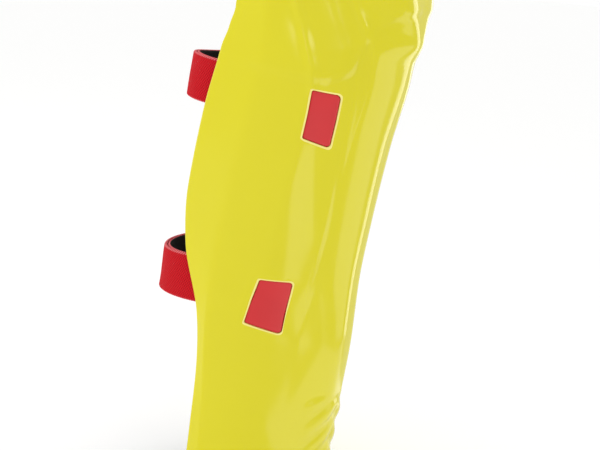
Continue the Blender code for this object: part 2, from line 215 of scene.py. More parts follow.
# Patch edges: shares of the height below the evenly spaced lines, and depth and width of the rounding
PATCH_EDGE_LINES = (0.0, 0.008, 0.02, 0.035)
PATCH_EVEN_START = 0.05
PATCH_ROUND_DEPTH = 0.0007
PATCH_ROUND_WIDTH = 0.0012

# Webbing: pitch of the cords in thread pitches, what threads and fibre add to its colour, how bright the
# painted shade between threads is, and how far in from the edge the painted highlight along it starts and is
# full
CORD_PITCH = 1.1
THREAD_SHADE = 0.45
FIBRE_SHADE = 0.35
THREAD_GROOVE_SHADE = 0.42
SELVEDGE_HIGHLIGHT_START = 0.0013
SELVEDGE_HIGHLIGHT_FULL = 0.0005

# Rounding of the creases: rounds of averaging over face and liner, more for ridge and groove, how far they
# spread, how soft the ridge is, and the shares of the height between which the groove sharpens
FACE_ROUNDS = 1
LINER_ROUNDS = 2
SOFT_ROUNDS = 24
RIDGE_SPREAD = 0.35
RIDGE_SOFTNESS = 0.25
GROOVE_SPREAD = 0.9
GROOVE_FADE = (0.22, 0.45)

# Pressed lines in the knee cup: how far they rise, their half width, and their run through heights, as shares
# of GUARD_HEIGHT, and places across
Pressed = namedtuple("Pressed", "rise width run")
Spot = namedtuple("Spot", "height place")
PRESSED = (
    Pressed(0.0012, 0.0032, (Spot(0.90, 4.12), Spot(0.845, 3.98), Spot(0.77, 4.0), Spot(0.735, 3.95))),
    Pressed(0.0010, 0.0034, (Spot(0.93, 2.15), Spot(0.877, 1.97), Spot(0.842, 2.0))),
    Pressed(0.0004, 0.0060, (Spot(0.842, 2.0), Spot(0.825, 2.65), Spot(0.805, 3.18), Spot(0.75, 3.68))),
)

# Camera, from the photograph's vanishing lines and the guard's size in it
CAMERA_BACK = Vector((0.4454, -0.8695, 0.2133))
CAMERA_RIGHT = Vector((0.8796, 0.4695, 0.0770))
CAMERA_DISTANCE = 1.25
CAMERA_LENS = 96.15
CAMERA_SENSOR = 36.0
AIM_BEHIND_RIM = 0.03699
AIM_HEIGHT = 0.21647

# Studio floor and lights: the middle of each light, the point it faces, its width and height, its turn in its
# own plane, its brightness, and whether it lights the guard or only shows in its gloss
FLOOR_REACH = 6.0
Softbox = namedtuple("Softbox", "name place target width height turn brightness lights")
SOFTBOXES = (
    Softbox("key_softbox", (0.75, -0.95, 1.25), (0.02, 0.0, 0.22), 0.9, 1.2, 0.0, 0.45, True),
    Softbox("rear_softbox", (-1.45, -0.55, 0.5), (0.0, 0.0, 0.22), 1.2, 1.5, 0.0, 1.5, True),
    Softbox("near_card", (0.243, -0.293, 0.083), (0.04, -0.05, 0.083), 0.15, 0.17, radians(25), 1.3, False),
    Softbox("front_card", (0.335, 0.009, 0.166), (0.06, 0.009, 0.166), 0.162, 0.27, 0.0, 1.3, False),
    Softbox("floor_card", (0.225, 0.01, 0.003), (0.225, 0.01, 1.0), 0.25, 0.40, 0.0, 1.2, False),
    Softbox("ridge_strip", (0.34, 0.26, 0.35), (0.08, 0.0, 0.35), 0.14, 0.70, 0.0, 3.5, False),
    Softbox("far_card", (0.14, 0.52, 0.42), (0.09, 0.0, 0.38), 0.12, 0.50, 0.0, 2.5, False),
    Softbox("knee_card", (0.58, -0.63, 0.565), (0.05, -0.055, 0.38), 0.22, 0.15, 0.0, 2.8, False),
    Softbox("crown_card", (-0.01, -0.86, 0.31), (0.03, -0.06, 0.37), 0.10, 0.08, 0.0, 2.5, False),
)


def linear(code):
    """The linear colour of an sRGB hex value."""
    shares = [int(code[i:i + 2], 16) / 255 for i in (0, 2, 4)]
    return tuple(s / 12.92 if s <= 0.04045 else ((s + 0.055) / 1.055) ** 2.4 for s in shares)


def smooth_curve(places, values):
    """A monotone cubic through the given values, as a function of arrays of places."""
    places, values = np.array(places, float), np.array(values, float)
    widths = np.diff(places)
    steps = np.diff(values) / widths
    before, after = steps[:-1], steps[1:]
    same = before * after > 0
    inner = np.where(same, 2 * before * after / np.where(same, before + after, 1), 0)
    slopes = np.concatenate([steps[:1], inner, steps[-1:]])

    def curve(place):
        index = np.clip(np.searchsorted(places, place, side="right") - 1, 0, len(steps) - 1)
        width = widths[index]
        t = (place - places[index]) / width
        start, end = values[index], values[index + 1]
        pull = (1 - t) * slopes[index] - t * slopes[index + 1]
        return start + (end - start) * (3 - 2 * t) * t * t + width * t * (1 - t) * pull

    return curve


HEIGHT_SHARES = [section.height for section in SECTIONS]


def crease_curves():
    """For each crease, its way back and its way out in metres as functions of the height share."""
    curves = []
    for crease in Section._fields[3:]:
        backs = [getattr(section, crease)[0] * GUARD_DEPTH for section in SECTIONS]
        outs = [getattr(section, crease)[1] * HALF_WIDTH for section in SECTIONS]
        curves.append((smooth_curve(HEIGHT_SHARES, backs), smooth_curve(HEIGHT_SHARES, outs)))
    return curves


FORWARD = smooth_curve(HEIGHT_SHARES, [section.forward * LEAN_REACH for section in SECTIONS])
TILT = smooth_curve(HEIGHT_SHARES, [section.tilt * SECTION_TILT for section in SECTIONS])
CREASES = crease_curves()
KNEE_PLACES = [edge.place for edge in KNEE_LINE]
KNEE_HEIGHT = smooth_curve(KNEE_PLACES, [edge.height * GUARD_HEIGHT for edge in KNEE_LINE])


def smooth_step(low, high, value):
    t = np.clip((value - low) / (high - low), 0, 1)
    return t * t * (3 - 2 * t)


def section_place(height, place):
    """(back, out) of places across the sections. Between two creases the face bows out a little."""
    height, place = np.broadcast_arrays(np.asarray(height, float), np.asarray(place, float))
    across = np.abs(place)
    index = np.minimum(across.astype(int), REAR_EDGE - 1)
    t = across - index
    share = height / GUARD_HEIGHT
    backs = np.stack([np.zeros_like(share)] + [back(share) for back, _ in CREASES])
    outs = np.stack([np.zeros_like(share)] + [out(share) for _, out in CREASES])

    def ends(values):
        near = np.take_along_axis(values, index[None], 0)[0]
        return near, np.take_along_axis(values, index[None] + 1, 0)[0] - near

    (near_back, run_back), (near_out, run_out) = ends(backs), ends(outs)
    bow = 4 * t * (1 - t) * np.array(BOW)[index]
    back = near_back + run_back * t - run_out * bow
    out = near_out + run_out * t + run_back * bow
    return back, np.where(place >= 0, out, -out)


def face_points(height, place):
    """Points of the smooth outer face, in the frame of the lower rim's front."""
    back, out = section_place(height, place)
    share = np.asarray(height, float) / GUARD_HEIGHT
    tilt = TILT(share)
    ahead, up = FORWARD(share) - back * np.cos(tilt), height + back * np.sin(tilt)
    return np.stack(np.broadcast_arrays(ahead, out, up), -1)


def unit(vectors):
    return vectors / np.maximum(np.linalg.norm(vectors, axis=-1, keepdims=True), 1e-12)


def face_normals(height, place):
    """Outward normals, with the two faces beside a crease counting equally."""
    height, place = np.broadcast_arrays(np.asarray(height, float), np.asarray(place, float))
    here = face_points(height, place)
    across = np.zeros_like(here)
    for sign in (-1, 1):
        beside = place + sign * NORMAL_STRIDE
        inside = (np.abs(beside) <= REAR_EDGE)[..., None]
        across += np.where(inside, unit(face_points(height, beside) - here) * sign, 0)
    rise = NORMAL_RISE * GUARD_HEIGHT
    high, low = np.minimum(GUARD_HEIGHT, height + rise), np.maximum(0, height - rise)
    return unit(np.cross(across, face_points(high, place) - face_points(low, place)))


def wall_points(height, place, depth):
    """Points at this depth below the smooth outer face. On the lower rim they stay on the floor."""
    depth = np.asarray(depth, float)[..., None]
    points = face_points(height, place) - face_normals(height, place) * depth
    points[..., 2] = np.where(np.broadcast_to(height, points.shape[:-1]) <= 0, 0.0, points[..., 2])
    return points


def trimmed(height, place):
    """Bends the lines of the loft near their ends: the crown is rounded and the heels are cut away."""
    aside = np.abs(place) / REAR_EDGE
    crown = np.clip((height / GUARD_HEIGHT - CROWN_START) / (1 - CROWN_START), 0, 1)
    heel = np.clip(1 - height / (HEEL_END * GUARD_HEIGHT), 0, 1)
    drop = crown * (CROWN_DROP * aside ** 2 + CORNER_DROP * aside ** 12)
    return height - drop + heel * HEEL_RISE * smooth_step(HEEL_START, 1, aside) ** 2


def face_width(height, index):
    """Distance across the face between two neighbouring creases."""
    return np.linalg.norm(face_points(height, index + 1.0) - face_points(height, float(index)), axis=-1)


def place_ahead(height, crease, distance):
    """The place that lies this far in front of a crease."""
    return crease - distance / face_width(height, crease - 1)


def ridge_step(height, distance):
    """How far the height changes when a section plane moves by this distance along its own normal."""
    share = height / GUARD_HEIGHT
    tilt = TILT(share)
    ahead = FORWARD(share + SLOPE_RISE) - FORWARD(share - SLOPE_RISE)
    return distance / (np.cos(tilt) + np.sin(tilt) * ahead / (2 * SLOPE_RISE * GUARD_HEIGHT))


def strap_height(strap):
    return strap.height * GUARD_HEIGHT


def pocket_heights(strap):
    """The four heights between which the liner sinks under a strap and rises again."""
    middle = strap_height(strap)
    inner = ridge_step(middle, STRAP_WIDTH / 2 + POCKET_MARGIN)
    outer = ridge_step(middle, STRAP_WIDTH / 2 + POCKET_MARGIN + POCKET_RAMP)
    return middle - outer, middle - inner, middle + inner, middle + outer


def pocket_depth(height, place):
    """How far the liner's outer face sinks to make room for a strap's end."""
    deep = np.zeros(np.broadcast(height, place).shape)
    for strap in STRAPS:
        low, low_full, high_full, high = pocket_heights(strap)
        level = smooth_step(low, low_full, height) * (1 - smooth_step(high_full, high, height))
        deep = np.maximum(deep, level * smooth_step(STEP_CREASE, POCKET_START, np.abs(place)))
    return deep * (STRAP_THICKNESS + SEAT_GAP)


def line_distance(points, run):
    """Distance of points to the nearest part of a polyline."""
    nearest = np.full(points.shape[:-1], np.inf)
    for start, end in zip(run, run[1:]):
        way = end - start
        t = np.clip(((points - start) @ way) / (way @ way), 0, 1)
        nearest = np.minimum(nearest, np.linalg.norm(points - start - t[..., None] * way, axis=-1))
    return nearest


def relief(height, place, points):
    """How far the outer face stands out: chevron ribs, the raised knee cup and its pressed lines."""
    back, out = section_place(height, place)
    reach = np.hypot(back, out)
    phase = (height + RIB_SLOPE * reach) / RIB_PITCH
    wave = 0.5 + 0.5 * np.cos(2 * pi * phase)
    below = 1 - smooth_step(RIB_TOP - RIB_PITCH / 2, RIB_TOP, height)
    ahead = 1 - smooth_step(RIB_REACH / 2, RIB_REACH, reach)
    edge = KNEE_HEIGHT(np.abs(place))
    cup = smooth_step(edge, edge + KNEE_EDGE, height)
    faded = 1 - smooth_step(STEP_CREASE, REAR_EDGE, np.abs(place))
    total = RIB_RISE * wave * below * ahead + KNEE_RISE * cup * faded
    for line in PRESSED:
        for side in SIDES.values():
            run = [face_points(spot.height * GUARD_HEIGHT, side * spot.place) for spot in line.run]
            away = line_distance(points, run)
            total += line.rise * np.exp(-((away / line.width) ** 2))
    return total


def fine_places():
    """Places across the whole shell: even shares of each face, and rounding lines at the rear edges."""
    places = []
    for face, squares in enumerate(FACE_SQUARES):
        places += [face + i / squares for i in range(squares)]
    ring = [REAR_EDGE - REAR_RIM * (1 - share) for share in ROUNDING_LINES]
    half = [place for place in places if place < ring[0] - REAR_RIM_SPACING] + ring
    return np.array([-place for place in reversed(half) if place > 0] + half)


def rimmed(low, high, radius, middle):
    """Lines from low to high: rounding lines at both rims, and the given ones between them."""
    ring = [share * radius for share in ROUNDING_LINES[:-1]]
    return np.array([low + step for step in ring] + list(middle) + [high - step for step in reversed(ring)])


def fine_heights(low, high, pitch):
    """Heights from low to high, with rounding lines at both ends."""
    radius = SHELL_WALL / 2
    count = ceil((high - low - 2 * radius) / pitch)
    return rimmed(low, high, radius, np.linspace(low + radius, high - radius, count + 1))


def edge_share(rows, columns, radius):
    """How far each point of a grid moves towards the middle of the wall, as a share, to round its rim."""
    gaps = []
    for line in (rows, columns):
        gaps.append(np.minimum(line - line[0], line[-1] - line))
    nearest = np.minimum(gaps[0][:, None], gaps[1][None, :])
    inward = np.clip(1 - nearest / radius, 0, 1)
    return np.minimum(0.5 * (1 - np.sqrt(1 - inward ** 2)), ROUNDING_LIMIT)[..., None]


def rim_share(heights, places, radius):
    """edge_share for the shell or the liner, with the rearmost face's width for all faces."""
    ways = (places - places[0]) * face_width(GUARD_HEIGHT / 2, REAR_EDGE - 1)
    return edge_share(heights, ways, radius)


def drawn_together(near, far, share):
    """Two walls whose points move towards each other by this share."""
    return near + (far - near) * share, far + (near - far) * share


def smoothed_across(points, rounds, weight=1.0):
    """Rounds the creases of a grid by averaging along its rows, by a weight for each point."""
    for _ in range(rounds):
        points = points.copy()
        points[:, 1:-1] += weight * (points[:, :-2] - 2 * points[:, 1:-1] + points[:, 2:]) / 4
    return points


def crease_softness(height, place):
    """How softly the mould rounds each place: the ridges all the way up, the groove only low on the shin.

    The outermost columns are left out, as smoothed_across keeps them where they are.
    """
    across, share = np.abs(place), height / GUARD_HEIGHT
    ridge = np.exp(-(((across - 1) / RIDGE_SPREAD) ** 2))
    low = 1 - smooth_step(*GROOVE_FADE, share)
    groove = low * np.exp(-(((across - STEP_CREASE) / GROOVE_SPREAD) ** 2))
    return np.maximum(RIDGE_SOFTNESS * ridge, groove)[:, 1:-1, None]


def grid_normals(points):
    return unit(np.cross(np.gradient(points, axis=1), np.gradient(points, axis=0)))


def closed_sheet(name, outer, inner, attributes=()):
    """A mesh object of the closed wall between two grids of points."""
    rows, columns = outer.shape[:2]
    ids = np.arange(rows * columns).reshape(rows, columns)
    under = ids + rows * columns
    near, far = ids[:-1, :-1], ids[1:, 1:]
    faces = np.stack([near, ids[:-1, 1:], far, ids[1:, :-1]], -1).reshape(-1, 4)
    below = np.stack([near, ids[1:, :-1], far, ids[:-1, 1:]], -1).reshape(-1, 4) + rows * columns
    ring = np.concatenate([ids[0, :-1], ids[:-1, -1], ids[-1, :0:-1], ids[:0:-1, 0]])
    other = np.concatenate([under[0, :-1], under[:-1, -1], under[-1, :0:-1], under[:0:-1, 0]])
    wall = np.stack([np.roll(ring, -1), ring, other, np.roll(other, -1)], -1)
    mesh = bpy.data.meshes.new(name)
    points = np.concatenate([outer.reshape(-1, 3), inner.reshape(-1, 3)])
    mesh.from_pydata(points.tolist(), [], np.concatenate([faces, below, wall]).tolist())
    for label, values in attributes:
        made = mesh.attributes.new(label, "FLOAT_VECTOR", "POINT")
        made.data.foreach_set("vector", values.reshape(-1, 3).astype(np.float32).ravel())
    mesh.shade_smooth()
    return placed(name, mesh)


def placed(name, mesh):
    made = bpy.data.objects.new(name, mesh)
    bpy.context.scene.collection.objects.link(made)
    return made


def window_lines(window, margin, corner_steps, middles):
    """Upright lines from a window's rear edge to its front, with the window grown by a margin.

    Each is its share of the way forward, and its lowest and highest point as heights over the strap's middle.
    """
    wide = window.width * STRAP_WIDTH
    last = wide + margin
    turns = [i / corner_steps * pi / 2 for i in range(corner_steps + 1)]
    stops = [(CORNER_REAR * (1 - cos(turn)) - margin, CORNER_REAR * (1 - sin(turn))) for turn in turns]
    stops += [(wide * middle, 0.0) for middle in middles]
    stops += [(last - CORNER_FRONT * (1 - sin(turn)), CORNER_FRONT * (1 - cos(turn))) for turn in turns]
    lines = []
    for ahead, drop in stops:
        share = ahead / wide
        low = window.rear_bottom + (window.front_bottom - window.rear_bottom) * share
        high = window.rear_top + (window.front_top - window.rear_top) * share
        lines.append((share, low * STRAP_WIDTH - margin + drop, high * STRAP_WIDTH + margin - drop))
    return lines


def window_points(strap, side, share, level, up):
    """Points on the smooth face inside a window, by forward share, height over the middle and up share."""
    window = strap.window
    height = strap_height(strap) + level
    wide = window.width + window.splay * (1 - up)
    place = place_ahead(height, SIDE_CREASE, (window.crease_gap + wide * share) * STRAP_WIDTH)
    return face_points(height, side * place)


def window_inward(strap, side):
    """The way straight into the shell at a window's middle."""
    middle, window = strap_height(strap), strap.window
    wide = (window.crease_gap + (window.width + window.splay / 2) / 2) * STRAP_WIDTH
    return -face_normals(middle, side * place_ahead(middle, SIDE_CREASE, wide))


def frame_shift():
    """How far the whole guard is moved so that its patches stand where the CAD has them."""
    strap = STRAPS[0]
    inward = window_inward(strap, -1)
    reach = []
    for share, low, high in window_lines(strap.window, -PATCH_CLEARANCE, *CAD_OUTLINE):
        for up in (0.0, 0.5, 1.0):
            point = window_points(strap, -1, share, low + (high - low) * up, up)
            reach += [(point + inward * depth)[0] for depth in (PATCH_RECESS, SHELL_WALL)]
    return np.array([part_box("upper_anchor_right")[1].x - max(reach), 0.0, 0.0])


def patch_walls(strap, side):
    """Grids of a patch's outer face, which is rounded off along its edges, and of its inner face."""
    window, inward = strap.window, window_inward(strap, side)
    lines = window_lines(window, -PATCH_CLEARANCE, *FINE_OUTLINE)
    first, last = lines[0][0], lines[-1][0]
    even = np.linspace(PATCH_EVEN_START, 1 - PATCH_EVEN_START, PATCH_LINES)
    walls = [], []
    for up in (*PATCH_EDGE_LINES, *even, *(1 - up for up in reversed(PATCH_EDGE_LINES))):
        rows = [], []
        for share, low, high in lines:
            point = window_points(strap, side, share, low + (high - low) * up, up)
            aside = min(share - first, last - share) * window.width
            rim = min(up, 1 - up, aside) * STRAP_WIDTH
            sunk = PATCH_ROUND_DEPTH * max(0.0, 1 - rim / PATCH_ROUND_WIDTH) ** 2
            rows[0].append(point + inward * (PATCH_RECESS + sunk))
            rows[1].append(point + inward * SHELL_WALL)
        for wall, row in zip(walls, rows):
            wall.append(row if side < 0 else row[::-1])
    return np.array(walls[0]), np.array(walls[1])


def loop_points(strap, height, edge, swell, turns):
    """A half ellipse behind the shell, from the right wing to the left, which sags towards the left."""
    seat = SHELL_WALL + SEAT_GAP
    right = wall_points(height, -REAR_EDGE, seat + STRAP_THICKNESS + LAYER_GAP)
    left = wall_points(height, REAR_EDGE, seat)
    middle, half = (right[1] + left[1]) / 2, (left[1] - right[1]) / 2
    reach = GUARD_DEPTH * (strap.lower_reach + (strap.upper_reach - strap.lower_reach) * edge) + swell
    rise = TILT(height / GUARD_HEIGHT) - strap.droop
    back = np.array([-np.cos(rise), 0.0, np.sin(rise)])
    out = middle - (half + swell) * np.cos(turns)
    base = np.array([left[0], 0.0, left[2]]) + back * (reach * np.sin(turns))[:, None]
    base[:, 1] = out
    base[:, 2] -= strap.sag * STRAP_WIDTH * np.sin(turns) ** 2 * (1 - np.cos(turns))
    return base


def shell_run(height, side, start, depth):
    """Points along the shell's inner face from a place to the rear edge."""
    return wall_points(height, side * np.linspace(start, REAR_EDGE, WING_POINTS), depth)


def resampled(line, shares):
    """Points at shares of a line's length, and that length."""
    steps = np.linalg.norm(np.diff(line, axis=0), axis=1)
    way = np.concatenate([[0], np.cumsum(steps)])
    return np.stack([np.interp(shares * way[-1], way, line[:, axis]) for axis in range(3)], -1), way[-1]


def band_line(strap, layer, height, edge, depth):
    """One line along a strap layer, at this depth below its outer face."""
    seat = SHELL_WALL + SEAT_GAP
    start = STEP_CREASE + STRAP_START
    if layer == "outer":
        turns = np.linspace(0, pi * OVERLAP_SHARE, OUTER_LOOP_POINTS)[1:]
        loop = loop_points(strap, height, edge, LAYER_GAP + STRAP_THICKNESS - depth, turns)
        return np.concatenate([shell_run(height, -1, start, seat + depth), loop])
    turns = np.linspace(0, pi, INNER_LOOP_POINTS)[1:-1]
    tail = -place_ahead(height, REAR_EDGE, INNER_TAIL)
    under = seat + STRAP_THICKNESS + LAYER_GAP + depth
    first = np.stack([wall_points(height, place, under) for place in (tail, -REAR_EDGE)])
    loop = loop_points(strap, height, edge, -depth, turns)
    return np.concatenate([first, loop, shell_run(height, 1, start, seat + depth)[::-1]])


def band_wall(strap, layer, depth, across, shares):
    """Grid of a strap layer at this depth, with a line for each way across and points at shares along it."""
    middle = strap_height(strap)
    half = ridge_step(middle, STRAP_WIDTH / 2)
    rows = []
    for step in reversed(across):
        edge = step / STRAP_WIDTH
        line = band_line(strap, layer, middle + half * (2 * edge - 1), edge, depth)
        rows.append(resampled(line, shares)[0])
    return np.stack(rows)


def add_node(tree, kind, inputs=None, **settings):
    """Adds a shader node with its settings. An input is a value, or the socket that feeds it."""
    made = tree.nodes.new(kind)
    for name, value in settings.items():
        setattr(made, name, value)
    for name, value in (inputs or {}).items():
        if isinstance(value, bpy.types.NodeSocket):
            tree.links.new(value, made.inputs[name])
        else:
            made.inputs[name].default_value = value
    return made


def principled(name, color, roughness, **more):
    """A new material and its Principled shader, with the same values all over its surface."""
    made = bpy.data.materials.new(name)
    made.use_nodes = True
    shader = made.node_tree.nodes["Principled BSDF"]
    shader.inputs["Base Color"].default_value = (*color, 1.0)
    shader.inputs["Roughness"].default_value = roughness
    for socket, value in more.items():
        shader.inputs[socket.replace("_", " ")].default_value = value
    made.diffuse_color = (*color, 1.0)
    return made, made.node_tree, shader


def object_place(tree):
    return add_node(tree, "ShaderNodeTexCoord").outputs["Object"]


def noise_of(tree, spot, size, detail):
    """Clouds of about this size in metres."""
    inputs = {"Vector": spot, "Scale": 1 / size, "Detail": detail}
    return add_node(tree, "ShaderNodeTexNoise", inputs).outputs["Fac"]


def math_of(tree, operation, *values):
    return add_node(tree, "ShaderNodeMath", dict(enumerate(values)), operation=operation).outputs[0]


def wave_of(tree, value, pitch):
    """A sine of this pitch in metres along a value in metres."""
    return math_of(tree, "SINE", math_of(tree, "MULTIPLY", value, 2 * pi / pitch))


def range_of(tree, value, low, high, bottom=0.0, top=1.0):
    """A value taken from one range to another and held at its ends."""
    inputs = {"Value": value, "From Min": low, "From Max": high, "To Min": bottom, "To Max": top}
    return add_node(tree, "ShaderNodeMapRange", inputs).outputs["Result"]


def mix_of(tree, share, *colors):
    """The colour this share of the way between two, each a socket or linear values."""
    first, second = (color if isinstance(color, bpy.types.NodeSocket) else (*color, 1.0) for color in colors)
    # The share is input 0 of this node, its colours are inputs 6 and 7, and the mixed colour is output 2
    return add_node(tree, "ShaderNodeMix", {0: share, 6: first, 7: second}, data_type="RGBA").outputs[2]


def shaded(color, share):
    return tuple(part * share for part in color)


def feel(tree, shader, height, strength, distance):
    """Gives a surface a relief that is too fine for its mesh."""
    bump = add_node(tree, "ShaderNodeBump", {"Height": height, "Strength": strength, "Distance": distance})
    tree.links.new(bump.outputs["Normal"], shader.inputs["Normal"])


def glossy_moulded_plastic(sizes):
    """Injection-moulded thermoplastic: an even yellow with a wet gloss, whose creases show as thin lines."""
    made, tree, shader = principled("glossy_moulded_plastic", sizes.plastic, 0.13, IOR=1.47)
    spot = object_place(tree)
    flow = mix_of(tree, noise_of(tree, spot, 0.06, 2.0), sizes.plastic, sizes.plastic_deep)
    # The rounded rims are painted paler by the attribute set on the shell: a painted highlight where they
    # catch the light
    finish = add_node(tree, "ShaderNodeAttribute", attribute_name="finish").outputs["Vector"]
    rim_lit = add_node(tree, "ShaderNodeSeparateXYZ", {"Vector": finish}).outputs["X"]
    tree.links.new(mix_of(tree, rim_lit, flow, sizes.plastic_edge), shader.inputs["Base Color"])
    # The polish of the mould varies over about 12 mm, and its grain of about 3 mm can just be told
    polish = range_of(tree, noise_of(tree, spot, 0.012, 3.0), 0.3, 0.7, 0.10, 0.15)
    tree.links.new(polish, shader.inputs["Roughness"])
    feel(tree, shader, noise_of(tree, spot, 0.003, 2.0), 0.04, 0.0002)
    return made


def cut_plastic_edge(sizes):
    """The routed edge of a window: the same plastic, painted paler as a highlight where the edge catches the
    light.
    """
    made, tree, shader = principled("cut_plastic_edge", sizes.plastic_edge, 0.35, IOR=1.5)
    spot = object_place(tree)
    feel(tree, shader, noise_of(tree, spot, 0.002, 2.0), 0.2, 0.0002)
    return made


def woven_elastic(sizes):
    """Woven elastic webbing: round weft ribs over rubber cords, a firm woven edge, and a dull sheen of fibre.

    The threads are drawn three times as coarse as real ones, so that they show in the render.
    """
    made, tree, shader = principled("woven_elastic", sizes.webbing, 0.78, IOR=1.5, Specular_IOR_Level=0.06)
    spot = add_node(tree, "ShaderNodeAttribute", attribute_name="weave").outputs["Vector"]
    way = add_node(tree, "ShaderNodeSeparateXYZ", {"Vector": spot})
    along, across = way.outputs["X"], way.outputs["Y"]
    ribs, cords = wave_of(tree, along, sizes.thread), wave_of(tree, across, sizes.thread * CORD_PITCH)
    threads = math_of(tree, "MULTIPLY_ADD", math_of(tree, "MULTIPLY", ribs, cords), THREAD_SHADE, 0.5)
    rough = math_of(tree, "MULTIPLY_ADD", noise_of(tree, spot, 0.0012, 4.0), FIBRE_SHADE, threads)
    # Between the threads the colour is painted darker: painted shade in the grooves of the weave
    deep = shaded(sizes.webbing, THREAD_GROOVE_SHADE)
    woven = mix_of(tree, range_of(tree, rough, 0.25, 1.1), deep, sizes.webbing)
    edge, aside = sizes.width / 2, math_of(tree, "ABSOLUTE", across)
    # The rib crests along the webbing's edges are painted paler: a painted highlight where the edge catches
    # the light
    rim = range_of(tree, aside, edge - SELVEDGE_HIGHLIGHT_START, edge - SELVEDGE_HIGHLIGHT_FULL)
    knot_highlight = math_of(tree, "MULTIPLY_ADD", ribs, 0.5, 0.5)
    edge_highlighted = mix_of(tree, math_of(tree, "MULTIPLY", rim, knot_highlight), woven, sizes.selvedge_highlight)
    tree.links.new(edge_highlighted, shader.inputs["Base Color"])
    feel(tree, shader, rough, 0.8, 0.0006)
    return made


def brushed_loop_backing(sizes):
    """Brushed nylon loop cloth on the back of the webbing: black, dull and slightly furry."""
    made, tree, shader = principled("brushed_loop_backing", sizes.backing, 0.95, Specular_IOR_Level=0.15)
    spot = object_place(tree)
    pile = noise_of(tree, spot, 0.0016, 4.0)
    tree.links.new(mix_of(tree, pile, sizes.backing, shaded(sizes.backing, 3)), shader.inputs["Base Color"])
    feel(tree, shader, pile, 0.7, 0.0008)
    return made


def satin_moulded_patch(sizes):
    """Moulded soft polymer: a flat red with a satin skin and a faint even grain."""
    made, tree, shader = principled("satin_moulded_patch", sizes.patch, 0.40, IOR=1.42)
    spot = object_place(tree)
    cloud = noise_of(tree, spot, 0.02, 1.0)
    tree.links.new(mix_of(tree, cloud, shaded(sizes.patch, 0.88), sizes.patch), shader.inputs["Base Color"])
    feel(tree, shader, noise_of(tree, spot, 0.0015, 3.0), 0.15, 0.0003)
    return made


def closed_cell_foam(sizes):
    """Closed-cell EVA foam under a thin brushed skin: near black and dull, with small even pores."""
    made, tree, shader = principled("closed_cell_foam", sizes.foam, 0.9, Specular_IOR_Level=0.25)
    spot = object_place(tree)
    cloud = noise_of(tree, spot, 0.03, 3.0)
    tree.links.new(mix_of(tree, cloud, sizes.foam, shaded(sizes.foam, 1.9)), shader.inputs["Base Color"])
    pores = add_node(tree, "ShaderNodeTexVoronoi", {"Vector": spot, "Scale": 1 / 0.0022}).outputs["Distance"]
    feel(tree, shader, pores, 0.45, 0.0005)
    return made


def pale_studio_floor(sizes):
    """Seamless paper: pale and matt."""
    made, tree, shader = principled("pale_studio_floor", sizes.floor, 0.9)
    spot = object_place(tree)
    feel(tree, shader, noise_of(tree, spot, 0.01, 3.0), 0.02, 0.0002)
    return made


def window_cutter(strap, side, shift, edge_highlight_material, chamfer):
    """The block that opens a window, a little wider at the outer face so that its edge is chamfered."""
    inward = window_inward(strap, side)
    stops = [(chamfer, -CUTTER_OUTSIDE), (chamfer, 0.0), (0.0, chamfer * CHAMFER_DEPTH), (0.0, CUTTER_INSIDE)]
    loops = []
    for margin, depth in stops:
        lines = window_lines(strap.window, margin, *FINE_OUTLINE)
        way = [(share, low, 0.0) for share, low, _ in lines]
        way += [(share, (low + high) / 2, 0.5) for share, low, high in lines[-1:]]
        way += [(share, high, 1.0) for share, _, high in reversed(lines)]
        way += [(share, (low + high) / 2, 0.5) for share, low, high in lines[:1]]
        loops.append([window_points(strap, side, *spot) + inward * depth + shift for spot in way])
    mesh = bmesh.new()
    rings = [[mesh.verts.new(point) for point in loop] for loop in loops]
    for near, far in zip(rings, rings[1:]):
        for i in range(len(near)):
            j = (i + 1) % len(near)
            mesh.faces.new((near[i], near[j], far[j], far[i]))
    mesh.faces.new(rings[0][::-1])
    mesh.faces.new(rings[-1])
    bmesh.ops.recalc_face_normals(mesh, faces=mesh.faces)
    data = bpy.data.meshes.new("window_cutter")
    mesh.to_mesh(data)
    mesh.free()
    # The window's walls and chamfer take the paler material: a painted highlight along the edge
    data.materials.append(edge_highlight_material)
    return placed("window_cutter", data)


def apply_modifiers(made):
    """Keeps the evaluated mesh of a piece as its own."""
    graph = bpy.context.evaluated_depsgraph_get()
    mesh = bpy.data.meshes.new_from_object(made.evaluated_get(graph))
    made.modifiers.clear()
    made.data = mesh


class ShellSizes(bpy.types.PropertyGroup):
    plastic: FloatVectorProperty(
        name="Plastic", description="Colour of the moulded plastic", subtype="COLOR", default=linear("D5CC02")
    )
    plastic_deep: FloatVectorProperty(
        name="Deeper plastic", description="Colour of its faint flow clouds", subtype="COLOR",
        default=linear("D2C800"),
    )
    # Painted highlight: the paler colour of the rounded rims and the window chamfers, where they catch the
    # light
    plastic_edge: FloatVectorProperty(
        name="Cut edge", description="Colour of scraped plastic edges", subtype="COLOR",
        default=linear("EFE180"),
    )
    chamfer: FloatProperty(
        name="Window chamfer", description="Width of the bevel round each window", default=0.0013,
        subtype="DISTANCE", unit="LENGTH",
    )


class StrapSizes(bpy.types.PropertyGroup):
    width: FloatProperty(
        name="Width", description="Width of the webbing", default=STRAP_WIDTH, subtype="DISTANCE",
        unit="LENGTH",
    )
    webbing: FloatVectorProperty(
        name="Webbing", description="Colour of the webbing", subtype="COLOR", default=linear("D81A25")
    )
    # Painted highlight: the pale colour laid on the rib crests along the webbing's edges, where they catch
    # the light
    selvedge_highlight: FloatVectorProperty(
        name="Selvedge", description="Colour of the webbing's edge threads", subtype="COLOR",
        default=linear("E8868A"),
    )
    backing: FloatVectorProperty(
        name="Backing", description="Colour of the loop cloth inside", subtype="COLOR",
        default=linear("1A1614"),
    )
    thread: FloatProperty(
        name="Thread pitch", description="Distance between weft ribs", default=0.0024, subtype="DISTANCE",
        unit="LENGTH",
    )


